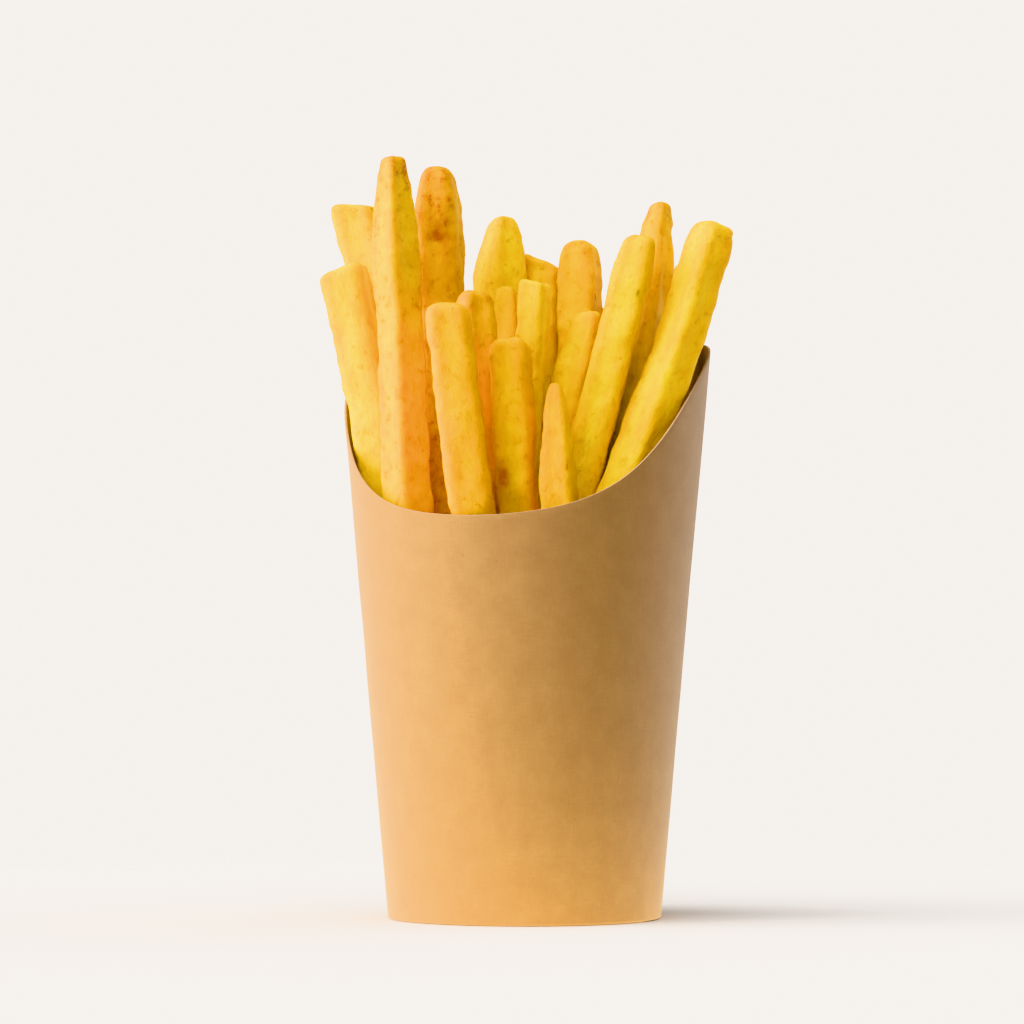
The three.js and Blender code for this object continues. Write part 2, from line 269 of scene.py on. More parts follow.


# Tone + mottle goes through pale, golden and orange; the tone carries painted shade on the sides
# away from the light. Rubbed edges, browned places and painted shade, pits darkened with painted
# shade, and specks are mixed in over that, one after the other.
def friedPotato():
    material, tree, shader = newMaterial(
        "fried_potato", IOR=1.42, Specular_IOR_Level=0.14, Subsurface_Weight=0.4,
        Subsurface_Scale=0.003, Subsurface_Radius=(1.0, 0.88, 0.22))
    grain = addNode(tree, "Attribute", attribute_name="grain").outputs["Vector"]
    # toast also carries painted shade from some places, and tone the painted shade on sides away
    # from the light
    tone, edge, toast = [
        addNode(tree, "Attribute", attribute_name=key).outputs["Fac"]
        for key in ("tone", "edge", "toast")
    ]
    mottle = addNode(tree, "TexNoise", {
        "Vector": grain, "Scale": 1 / potato["mottle"], "Detail": 4, "Roughness": 0.6,
    }).outputs["Fac"]
    # each fry's own tone, painted deeper as shade on some sides, made uneven by the mottle
    centred = addNode(tree, "Math", {
        0: tone, 1: potato["mottleShare"] / 2,
    }, operation="SUBTRACT")
    uneven = addNode(tree, "Math", {
        0: mottle, 1: potato["mottleShare"], 2: centred.outputs[0],
    }, operation="MULTIPLY_ADD")
    crust = addNode(tree, "ValToRGB", {"Fac": uneven.outputs[0]}, stops=[
        (0.05, potato["pale"]), (0.5, potato["golden"]), (1.0, potato["orange"]),
    ])
    worn = addNode(tree, "Math", {0: mottle, 1: 0.25}, operation="ADD")
    rubbed = addNode(tree, "Math", {
        0: edge, 1: worn.outputs[0],
    }, operation="MULTIPLY", use_clamp=True)
    edged = addNode(tree, "Mix", {
        0: rubbed.outputs[0], 6: crust.outputs["Color"], 7: linear(potato["edge"]),
    }, data_type="RGBA")
    # browned tips and patches, some of them painted shade in gaps between fries, broken up by
    # blisters
    noise = addNode(tree, "TexNoise", {
        "Vector": grain, "Scale": 1 / potato["blister"], "Detail": 5, "Roughness": 0.65,
    }).outputs["Fac"]
    broken = addNode(tree, "MapRange", {
        "Value": noise, "From Min": 0.3, "From Max": 0.7, "To Min": 0.45, "To Max": 1.2,
    })
    blisters = addNode(tree, "MapRange", {
        "Value": noise, "From Min": 0.58, "From Max": 0.74,
    }).outputs[0]
    slight = addNode(tree, "Math", {0: blisters, 1: potato["blisterBrown"]}, operation="MULTIPLY")
    brownedAndShaded = addNode(tree, "Math", {
        0: toast, 1: broken.outputs[0], 2: slight.outputs[0],
    }, operation="MULTIPLY_ADD", use_clamp=True)
    browned = addNode(tree, "Mix", {
        0: brownedAndShaded.outputs[0], 6: edged.outputs[2], 7: linear(potato["brown"]),
    }, data_type="RGBA")
    # pits are a little darker with painted shade in them, and run along the fry
    long = addNode(tree, "Mapping", {
        "Vector": grain, "Scale": (1, 1, potato["alongScale"]),
    }).outputs[0]
    pits = addNode(tree, "TexNoise", {
        "Vector": long, "Scale": 1 / potato["pits"], "Detail": 4, "Roughness": 0.7,
    }).outputs["Fac"]
    shade = addNode(tree, "MapRange", {
        "Value": pits, "From Min": 0.52, "From Max": 0.3,
        "To Min": 0.0, "To Max": potato["pitShadeDepth"],
    })
    pitted = addNode(tree, "Mix", {
        0: shade.outputs[0], 6: browned.outputs[2], 7: linear(potato["pitShade"]),
    }, data_type="RGBA")
    specks = addNode(tree, "TexVoronoi", {"Vector": long, "Scale": 1 / potato["speckSpacing"]})
    dots = addNode(tree, "MapRange", {
        "Value": specks.outputs["Distance"], "From Min": 0.035, "From Max": 0.07,
        "To Min": potato["speckStrength"], "To Max": 0.0,
    })
    specked = addNode(tree, "Mix", {
        0: dots.outputs[0], 6: pitted.outputs[2], 7: linear(potato["dark"]),
    }, data_type="RGBA")
    tree.links.new(specked.outputs[2], shader.inputs["Base Color"])
    film = addNode(tree, "MapRange", {
        "Value": pits, "From Min": 0.3, "From Max": 0.7,
        "To Min": potato["dull"], "To Max": potato["oily"],
    })
    tree.links.new(film.outputs[0], shader.inputs["Roughness"])
    raised = addNode(tree, "Math", {
        0: blisters, 1: potato["blisterHeight"], 2: pits,
    }, operation="MULTIPLY_ADD")
    relief = addNode(tree, "Bump", {
        "Height": raised.outputs[0], "Strength": 0.9, "Distance": potato["relief"] * mm,
    })
    tree.links.new(relief.outputs["Normal"], shader.inputs["Normal"])
    return material


boardMaterial = kraftBoard()
potatoMaterial = friedPotato()
print("materials made")


# The paper cup, in mm and degrees.
cup = {
    "footRadius": 31.2, "wallAngle": 5.17,
    "board": 0.5,
    "lip": 90.3, "back": 134.3,          # heights of the cut edge
    "steepness": 3.6, "shoulder": 0.378,    # of its S-curve
    "hemHeight": 6.3, "baseHeight": 7.2,
    "gap": 0.3,                          # between layers of board at the foot
    "fold": 0.5,                         # radius of the fold at the foot
    "crisp": 0.12,                       # how far the cut edge is rounded over
    "lapWidth": 9.0, "lapStep": 0.35,
    "lapEdge": 0.12,                     # turn that the lap's outer edge takes
    "wave": 0.16,                        # how far the wall is out of true
    "waveLong": 34, "waveShort": 13,
    "columns": 360, "rows": 60,
}
wallSlope = math.tan(math.radians(cup["wallAngle"]))


# The wall's outside at a height: the foot's radius + slope x height.
def outerRadius(height):
    return cup["footRadius"] + wallSlope * height


# Its inside: the same less the board.
def innerRadius(height):
    return outerRadius(height) - cup["board"]


# The scoop's cut edge: an S-curve 1 / (1 + e^(k (cos a - c))), scaled from lip to back.
def rimHeight(azimuth):
    def curve(at):
        return 1 / (1 + np.exp(cup["steepness"] * (np.cos(np.radians(at)) - cup["shoulder"])))

    rise = (curve(azimuth) - curve(0)) / (curve(180) - curve(0))
    return cup["lip"] + (cup["back"] - cup["lip"]) * rise


# The wall is a closed section carried round the cup: (depth in from the outside, height)
# up the outside, over the cut edge, down the inside, and round the foot into the hem.
# Columns start where the lap's outer layer ends, so that its cut edge is one sharp step.
def paperWall():
    board, fold, crisp = cup["board"], cup["fold"], cup["crisp"]
    half = math.degrees(cup["lapWidth"] / 2 / outerRadius(cup["back"] / 2))
    start, step = half - 180, cup["lapEdge"]
    turn = np.linspace(start + 2 * step, start + 360 - 3 * step, cup["columns"] - 4)
    seam = start + 360 - np.array([2, 1]) * step
    azimuth = np.concatenate([[start, start + step], turn, seam])[:, None]
    rim = rimHeight(azimuth)
    one = np.ones_like(azimuth)
    up = np.linspace(0, 1, cup["rows"])[None, :]
    corner = np.radians(np.linspace(0, 90, 6))[None, :] * one
    over = np.radians(np.linspace(0, 180, 9))[None, 1:-1] * one
    short = np.linspace(0, 1, 5)[None, :] * one
    hemOuter = board + 2 * cup["gap"] + board
    hemInner = hemOuter + board
    hemTop = cup["hemHeight"]
    runs = [
        (fold * (1 - np.sin(corner)), fold * (1 - np.cos(corner)), 0),
        (0 * up[:, 1:] * one, fold + (rim - crisp - fold) * up[:, 1:], 0),
        (board / 2 * (1 - np.cos(over)), rim - crisp + crisp * np.sin(over), 1),
        (board * one + 0 * up, board + (rim - crisp - board) * (1 - up), 0),
        (hemOuter + 0 * short, board + (hemTop - crisp - board) * short, 0),
        (hemOuter + board / 2 * (1 - np.cos(over)), hemTop - crisp + crisp * np.sin(over), 1),
        (hemInner + 0 * short, fold + (hemTop - crisp - fold) * (1 - short), 0),
        (hemInner - fold * (1 - np.cos(corner[:, 1:])), fold * (1 - np.sin(corner[:, 1:])), 0),
    ]
    depth = np.concatenate([run[0] for run in runs], 1)
    height = np.concatenate([run[1] for run in runs], 1)
    cut = np.concatenate([np.full(run[0].shape, float(run[2])) for run in runs], 1)
    # the lap's outer layer swells slowly over the inner one
    lap = cup["lapStep"] * ramp(azimuth, start + 360 - 2 * half, start + 360 - step)
    proud = lap * np.clip(1 - depth / board, 0, 1)
    arc = np.radians(azimuth) * outerRadius(cup["back"] / 2) + 0 * height
    grain = np.stack([arc, depth, height], -1)
    place = np.concatenate([polar(azimuth, 40 + 0 * height), height[..., None]], -1)
    uneven = bumps(place, cup["waveLong"], 3) + 0.4 * bumps(place, cup["waveShort"], 4)
    lean = cup["wave"] * uneven * ramp(height, 8, 60)
    spot = polar(azimuth, outerRadius(height) - depth + proud + lean)
    points = np.concatenate([spot, height[..., None]], -1)
    # stations of the section become the rows, so that faces look out
    points, grain, cut = [np.swapaxes(a, 0, 1) for a in (points, grain, cut)]
    faces = [ringFaces(*cut.shape, joinsBack=True)]
    return points.reshape(-1, 3), faces, {"grain": grain.reshape(-1, 3), "cut": cut.ravel()}


# The base is a disc with its edge turned down into the hem: rings at (radius, height) from
# the middle of the top out, down the skirt, and back in underneath.
def paperBase():
    board, gap, top = cup["board"], cup["gap"], cup["baseHeight"]
    skirtFoot = board + gap
    ceiling = top - board

    def skirt(height, inset):
        return innerRadius(height) - gap - inset

    out = np.linspace(0.1, 1, 12)
    bend = np.radians(np.linspace(0, 90, 5))[1:]
    radius = np.concatenate([
        out * (skirt(top, 0) - board),
        skirt(top, board) + board * np.sin(bend),
        [skirt(skirtFoot, 0), skirt(skirtFoot, board), skirt(ceiling, board)],
        out[::-1][1:] * skirt(ceiling, board),
    ])[:, None]
    height = np.concatenate([
        np.full(len(out), top), top - board + board * np.cos(bend),
        [skirtFoot, skirtFoot, ceiling], np.full(len(out) - 1, ceiling),
    ])[:, None]
    columns = 120
    azimuth = -np.linspace(0, 360, columns, endpoint=False)[None, :]
    spot = polar(azimuth, radius)
    points = np.concatenate([spot, height[..., None] + 0 * spot[..., :1]], -1).reshape(-1, 3)
    rows = len(radius)
    points = np.concatenate([points, [[0, 0, top], [0, 0, ceiling]]])
    last = (rows - 1) * columns
    faces = [
        ringFaces(rows, columns),
        capFaces(0, columns, rows * columns)[:, ::-1],
        capFaces(last, columns, rows * columns + 1),
    ]
    return points, faces, {"grain": points[:, [0, 2, 1]], "cut": np.zeros(len(points))}


paperWallPiece = meshOf("paper_wall", *paperWall(), boardMaterial)
paperBasePiece = meshOf("paper_base", *paperBase(), boardMaterial)
print("paper cup made")


# How the heap of fries is laid out and settles, in mm and degrees.
heap = {
    "coreTop": 82, "coreSwell": 3, "coreRelief": 0.8, "coreBump": 6,
    "foot": 79, "mouth": 92,             # heights where fries begin and where they're placed
    "cornerBevel": 1.3, "cornerRounding": 2.2, "edgeRounding": 1.6, "slantReach": 6,
    "fillerFront": -22, "fillerFlatten": 0.6, "fillerBow": 1.4, "fillerSlant": 3,
    "rounds": 60, "step": 9, "top": 174, "tangleTop": 84,
    "placedGive": 0.12, "wallClearance": 0.45,
}
# The filling fries: their lattice, how far out it goes, how clear of other fries they are,
# how much the tips fan out and sway, and the ranges of their heights and widths.
tallFiller = {
    "spacing": 10.2, "reach": 31, "clearance": 8.4, "fan": 1.24, "sway": 3.5,
    "lowest": 124, "rise": 21, "thinnest": 8.4, "spare": 1.6,
}
shortFiller = {
    "spacing": 2.6, "reach": 33, "clearance": 8, "fan": 1.1, "sway": 1.5,
    "lowest": 99, "rise": 15, "thinnest": 7.4, "spare": 1,
}
# one irrational share for each way in which the filling fries differ
share = {
    "swayX": 0.6180339, "swayY": 0.7548777, "size": 0.5698403, "depth": 0.3247179,
    "height": 0.4142135, "face": 0.7320508, "bow": 0.8392867, "slant": 0.2360679,
}
# The fries placed one by one, by:
# mouth: azimuth and distance from the axis at the mouth's height
# tip: azimuth, distance and height
# size: width and depth
# face: azimuth that a flat side looks to
# bow: how far the middle arches
# point: length of a tapered tip, and its end's share of the size
# round: how far the end's edge is rounded
# corner: radius of the long edges
# slant: drop across a cut end
# tone: from pale 0 to orange 1
# amber: azimuth and strength of painted shade, a deeper golden on the side away from the light
# toast: how brown the tip is
# browned: how brown all of it is
# spots: height, azimuth, size up and across, and strength of each browned place, some painted
# shade
standingFries = [
    {"mouth": (-67, 33.4), "tip": (-74, 42.2, 147.2), "size": (10.0, 9.2), "face": -6,
     "bow": -0.4, "slant": -3.6, "tone": 0.05, "toast": 0.1, "browned": 0.05},
    {"mouth": (-79, 21.6), "tip": (-90, 42.5, 165.6), "size": (10.6, 9.2), "face": -4,
     "slant": 0.6, "tone": 0.08, "toast": 0.2, "browned": 0.05},
    {"mouth": (-38, 32.4), "tip": (-46, 34.1, 172.7), "size": (8.6, 8.6), "face": -34,
     "bow": 0.2, "point": (22, 0.3), "round": 1.0, "corner": 1.2,
     "tone": 0.3, "amber": (60, 0.15), "toast": 0.4, "browned": 0.27},
    {"mouth": (-44, 20.2), "tip": (-60, 20.8, 172.1), "size": (10.0, 9.0), "face": 2,
     "point": (10, 0.5), "round": 2.3, "tone": 0.5, "toast": 0.3, "browned": 0.33,
     # its browned place at 100 mm is painted shade, where it shows in the gap between the fries in
     # front
     "spots": [(160, 14, 6, 3, 0.55), (155.4, 16, 1.2, 2, 0.8), (100, 16, 24, 10, 0.3)]},
    {"mouth": (1, 32.5), "tip": (-9, 40.7, 136.9), "size": (9.8, 9.2), "face": 16,
     "bow": 0.6, "point": (3, 0.85), "round": 2.2,
     "tone": 0.7, "amber": (95, 0.3), "toast": 0.0, "spots": [(98, -14, 20, 12, 0.15)]},
    {"mouth": (-5, 22.5), "tip": (-9, 26.4, 141.8), "size": (8.6, 8.6), "face": 40,
     "point": (10, 0.6), "round": 2, "slant": 1, "tone": 0.65, "toast": 0.25, "browned": 0.15},
    {"mouth": (16, 28.0), "tip": (11, 31.1, 129.8), "size": (8.6, 8.8), "face": 2,
     "point": (4, 0.8), "round": 2.2,
     # its small dark place low down is painted shade, where the gap beside the next fry begins
     "tone": 0.5, "amber": (90, 0.4), "toast": 0.1, "spots": [(99.2, -24, 2.4, 1.3, 1.6)]},
    {"mouth": (28, 33.0), "tip": (26, 33.5, 119.6), "size": (9.8, 9.2), "face": 0,
     "point": (40, 0.1), "round": 0.35, "tone": 0.7, "toast": 0.1, "browned": 0.15},
    {"mouth": (48, 15.3), "tip": (82, 19.8, 137.2), "size": (9.0, 9.0), "face": -10,
     "point": (12, 0.55), "round": 2, "slant": -2.5, "tone": 0.15, "toast": 0.1},
    {"mouth": (50, 24.7), "tip": (81, 26.4, 155.5), "size": (9.0, 8.6), "face": 8,
     "point": (10, 0.7), "round": 2, "slant": 0.8,
     "tone": 0.05, "amber": (100, 0.5), "toast": 0.1},
    {"mouth": (54, 33.0), "tip": (96, 50.8, 160.6), "size": (9.6, 9.8), "face": -30,
     "bow": 1.2, "point": (9, 0.62), "round": 2.8, "slant": 2.6,
     "tone": -0.05, "amber": (75, 0.7), "toast": 0.0},
    {"mouth": (78, 25.5), "tip": (104, 31.6, 164.4), "size": (9.2, 8.4), "face": -20,
     "point": (18, 0.3), "round": 1.2, "tone": 0.25, "toast": 0.35, "browned": 0.15},
    {"mouth": (90, 13.0), "tip": (115, 13.6, 156.4), "size": (9.4, 9.4), "face": -6,
     "point": (8, 0.6), "round": 2.6, "corner": 1.8,
     "tone": 0.4, "toast": 0.15, "browned": 0.18},
    {"mouth": (-67, 8.7), "tip": (-139, 9.9, 162.6), "size": (10.0, 9.8), "face": -45,
     "point": (14, 0.2), "round": 0.8, "corner": 1.6, "tone": 0.05, "toast": 0.25},
    {"mouth": (124, 3.2), "tip": (-180, 13.5, 154.5), "size": (9.0, 9.0), "face": 4,
     "slant": 3.5, "tone": 0.4, "toast": 0.2},
    {"mouth": (-6, 11.9), "tip": (-31, 5.8, 144.4), "size": (6.6, 6.6), "face": 10,
     "point": (20, 0.45), "round": 1.2, "corner": 1.4, "tone": 0.5, "toast": 0.15},
    {"mouth": (12, 18.0), "tip": (29, 12.8, 145.2), "size": (6.0, 5.6), "face": -11,
     "slant": 1, "round": 1.2, "corner": 1.2, "tone": 0.0, "toast": 0.1},
    {"mouth": (-129, 24.4), "tip": (-128, 34.8, 158.1), "size": (9.2, 9.0), "face": 20,
     "slant": 1.5, "tone": 0.4, "toast": 0.3},
    {"mouth": (172, 21.9), "tip": (172, 31.7, 149.9), "size": (9.4, 9.0), "face": -20,
     "point": (5, 0.8), "round": 2.4, "tone": 0.3, "toast": 0.3},
    {"mouth": (137, 25.6), "tip": (148, 37.3, 156.0), "size": (8.8, 9.2), "face": 30,
     "slant": 2, "tone": 0.6, "toast": 0.4},
    {"mouth": (112, 30.6), "tip": (120, 42.8, 151.8), "size": (9.0, 9.0), "face": 10,
     "point": (8, 0.6), "round": 2, "tone": 0.4, "toast": 0.3},
    {"mouth": (-100, 30.0), "tip": (-105, 43.1, 154.5), "size": (9.6, 9.0), "face": -30,
     "slant": 1, "tone": 0.35, "toast": 0.2},
]


# A fry from its fields, with its bevelled section's corners for the settling.
def makeFry(fields):
    plain = {"bow": 0, "point": (0, 1), "slant": 0, "round": heap["edgeRounding"],
             "corner": heap["cornerRounding"], "amber": (0, 0), "browned": 0, "spots": []}
    fry = SimpleNamespace(**{**plain, **fields})
    fry.low = polar(*fry.mouth).tolist()
    fry.high = polar(*fry.tip[:2]).tolist()
    fry.top = fry.tip[2]
    fry.arch = polar(fry.tip[0], fry.bow).tolist()
    w, d, b = fry.size[0] / 2, fry.size[1] / 2, heap["cornerBevel"]
    corners = np.array([(w - b, -d), (w, b - d), (w, d - b), (w - b, d), (b - w, d), (-w, d - b),
                        (-w, b - d), (b - w, -d)])
    sideways = corners[:, :1] * polar(fry.face + 90, 1)
    fry.outline = (sideways - corners[:, 1:] * polar(fry.face, 1)).tolist()
    return fry


# The middle of a fry at a height: a straight lean from mouth to tip, arched by its bow.
def axisAt(fry, height):
    along = (height - heap["mouth"]) / (fry.top - heap["mouth"])
    arch = 4 * along * (1 - along)
    return (
        fry.low[0] + (fry.high[0] - fry.low[0]) * along + fry.arch[0] * arch,
        fry.low[1] + (fry.high[1] - fry.low[1]) * along + fry.arch[1] * arch,
    )


# One filling fry on its lattice point. It leans out with its place, a little unevenly.
def fillerFry(kind, x, y, index):
    tipX = x * kind["fan"] + (2 * spread(index, share["swayX"]) - 1) * kind["sway"]
    tipY = y * kind["fan"] + (2 * spread(index, share["swayY"]) - 1) * kind["sway"]
    width = kind["thinnest"] + kind["spare"] * spread(index, share["size"])
    top = kind["lowest"] + kind["rise"] * spread(index, share["height"])
    return makeFry({
        "mouth": (azimuthOf(x, y), math.hypot(x, y)),
        "tip": (azimuthOf(tipX, tipY), math.hypot(tipX, tipY), top),
        "size": (width, width - heap["fillerFlatten"] + spread(index, share["depth"])),
        "face": 90 * spread(index, share["face"]),
        "bow": heap["fillerBow"] * (2 * spread(index, share["bow"]) - 1),
        "slant": heap["fillerSlant"] * spread(index, share["slant"]),
        "gives": 1,
        "tone": 0.15 + 0.6 * spread(index, share["depth"]),
        "toast": 0.1 + 0.35 * spread(index, share["swayX"]),
    })


# The distance from a point to the nearest fry, at the mouth's height.
def nearestFry(fries, x, y):
    return min(math.hypot(fry.low[0] - x, fry.low[1] - y) for fry in fries)


# Adds fries of one kind: a triangular lattice over the cup's mouth behind the front row,
# left out where a fry already is.
def addFillers(fries, kind):
    rowStep = kind["spacing"] * math.sin(math.pi / 3)
    rows = math.ceil(kind["reach"] / rowStep)
    already = len(fries)
    for row in range(-rows, rows + 1):
        shift = kind["spacing"] / 2 if row % 2 else 0
        for column in range(-rows, rows + 1):
            x, y = column * kind["spacing"] + shift, row * rowStep
            free = nearestFry(fries, x, y) >= kind["clearance"]
            if math.hypot(x, y) <= kind["reach"] and y > heap["fillerFront"] and free:
                fries.append(fillerFry(kind, x, y, len(fries) - already + 1))


# Moves a fry at a height, as a lever from mouth to tip.
def push(fry, height, x, y):
    along = min(max((height - heap["mouth"]) / (fry.top - heap["mouth"]), 0), 1)
    fry.low[0] += x * (1 - along)
    fry.low[1] += y * (1 - along)
    fry.high[0] += x * along
    fry.high[1] += y * along


# Keeps each corner of a fry inside the paper wall, up to the scoop's edge next to it.
def keepInside(fry, height):
    nearWall = innerRadius(cup["lip"] - heap["step"]) - fry.size[0] - 1
    if math.hypot(*axisAt(fry, height)) < nearWall:
        return
    for u, v in fry.outline:
        x, y = axisAt(fry, height)
        rim = float(rimHeight(azimuthOf(x + u, y + v)))
        level = min(height, rim)
        x, y = axisAt(fry, level)
        over = math.hypot(x + u, y + v) - (innerRadius(level) - heap["wallClearance"])
        if over > 0 and height < rim + heap["step"]:
            radius = math.hypot(x, y)
            push(fry, level, -x / radius * over, -y / radius * over)


# Pushes two fries apart at a height until their sections only touch.
def keepApart(one, other, height):
    ax, ay = axisAt(one, height)
    bx, by = axisAt(other, height)
    distance = math.hypot(bx - ax, by - ay) or 1
    if distance > one.size[0] + other.size[0]:
        return
    wayX, wayY = (bx - ax) / distance, (by - ay) / distance
    overlap = max(u * wayX + v * wayY for u, v in one.outline) - distance
    overlap -= min(u * wayX + v * wayY for u, v in other.outline)
    if overlap > 0:
        unit = overlap / (one.gives + other.gives)
        push(one, height, -wayX * unit * one.gives, -wayY * unit * one.gives)
        push(other, height, wayX * unit * other.gives, wayY * unit * other.gives)


# Lets the heap settle: fries that overlap at any level push each other aside, and the wall
# holds them in. The placed fries hardly move.
def settle(fries):
    for _ in range(heap["rounds"]):
        for height in range(heap["foot"], heap["top"], heap["step"]):
            here = [fry for fry in fries if fry.top > height]
            if height > heap["tangleTop"]:
                for i, fry in enumerate(here):
                    for other in here[i + 1:]:
                        keepApart(fry, other, height)
            for fry in here:
                keepInside(fry, height)


fries = [makeFry({**fields, "gives": heap["placedGive"]}) for fields in standingFries]
placed = len(fries)
addFillers(fries, tallFiller)
tall = len(fries)
settle(fries)
addFillers(fries, shortFiller)
settle(fries)
print("heap settled:", placed, "placed,", tall - placed, "tall,", len(fries) - tall, "short")


# The skin of a fry, in mm.
crust = {
    "puff": 0.45, "puffLength": 16,      # flat sides swell and sink a little
    "twist": 6,                          # degrees of turn from mouth to tip
    "uneven": 0.07, "unevenLength": 22,  # share that the width varies by
    "meander": 0.35, "meanderLength": 19,
    "relief": [(0.32, 5.0), (0.24, 2.1), (0.07, 0.9)],    # height and size of its bumps
    "edgeReach": 1.3,                    # how far an edge's colour runs onto the sides
    "toastReach": 5.5,                   # how far a tip's browning runs down
    "toneSpread": 0.16,
}


# A rounded rectangle of 4 (corner + side) points, anticlockwise: quarter circles round the
# corners' centres and straight sides. With it come the outward normals, how near each
# point is to a long edge, where it stands across its side, and which side it is on.
def frySection(width, depth, radius, corner, side):
    w, d, r = width / 2, depth / 2, radius
    quarter = np.arange(4)[:, None]
    signU = np.array([1, -1, -1, 1])[:, None]
    signV = np.array([1, 1, -1, -1])[:, None]
    turn = np.radians(quarter * 90 + np.linspace(0, 90, corner + 1)[None, :])
    arc = np.stack([signU * (w - r) + r * np.cos(turn), signV * (d - r) + r * np.sin(turn)], -1)
    t = (np.arange(1, side) / side)[None, :, None]
    flat = arc[:, -1:] * (1 - t) + np.roll(arc, -1, 0)[:, :1] * t
    length = np.linalg.norm(arc[:, -1:] - np.roll(arc, -1, 0)[:, :1], axis=-1)
    away = np.minimum(t, 1 - t)[..., 0] * length
    normal = np.concatenate([turn, np.radians(quarter * 90 + 90) + 0 * away], 1)
    spot = np.concatenate([arc, flat], 1).reshape(-1, 2)
    near = np.concatenate([np.ones(turn.shape), np.exp(-(away / crust["edgeReach"]) ** 2)], 1)
    across = np.concatenate([np.zeros(turn.shape), 4 * t[..., 0] * (1 - t[..., 0]) + 0 * away], 1)
    number = np.concatenate([np.zeros(turn.shape), quarter + 1 + 0 * away], 1)
    normal = np.stack([np.cos(normal), np.sin(normal)], -1).reshape(-1, 2)
    return spot, normal, near.ravel(), across.ravel(), number.ravel()


# The share of a fry's section that is left at a distance below its tip: a long taper where
# it has one.
def taperAt(fry, below):
    length, end = fry.point
    if not length:
        return np.ones_like(below)
    return np.where(below < length, end + (1 - end) * np.sqrt(below / length), 1)


# Colours on a fry's skin, as numbers for the material. Browning runs round the tip's rim as
# e^-(d^2) of the distance, and each browned place is an oval e^-(d^2) on its own side; some of
# these places are painted shade in the gaps between fries. The end's middle takes the values of
# the ring round it.
def fryTones(fry, x, y, height, near, onEnd, grain):
    rim = np.exp(-((fry.top - height - 0.6) / crust["toastReach"]) ** 2)
    toast = fry.browned + fry.toast * rim * (0.75 + 0.5 * near) * (1 - 0.35 * onEnd)
    # some of these places are painted shade in the gaps between fries
    for at, way, tall, wide, strength in fry.spots:
        outX, outY = polar(way, 2 / fry.size[0]).tolist()
        aside = (outX * y - outY * x) * fry.size[0] / 2 / wide
        oval = np.exp(-aside ** 2 - ((height - at) / tall) ** 2)
        toast = toast + strength * oval * ramp(outX * x + outY * y, 0.2, 0.7)
    # a deeper tone on the side away from the light: painted shade
    outX, outY = polar(fry.amber[0], 2 / fry.size[0]).tolist()
    paintedShade = fry.amber[1] * ramp(outX * x + outY * y, 0.3, 1)
    tone = fry.tone + crust["toneSpread"] * bumps(grain, 15, 5) + paintedShade
    edge = np.where(onEnd, 0.4, near * (0.5 + 0.5 * bumps(grain, 7, 6)))
    values = {"grain": np.concatenate([grain.reshape(-1, 3), grain[-1].mean(0)[None]])}
    for key, value in (("tone", tone), ("edge", edge), ("toast", toast)):
        values[key] = np.append(value.ravel(), value[-1, 0])
    return values


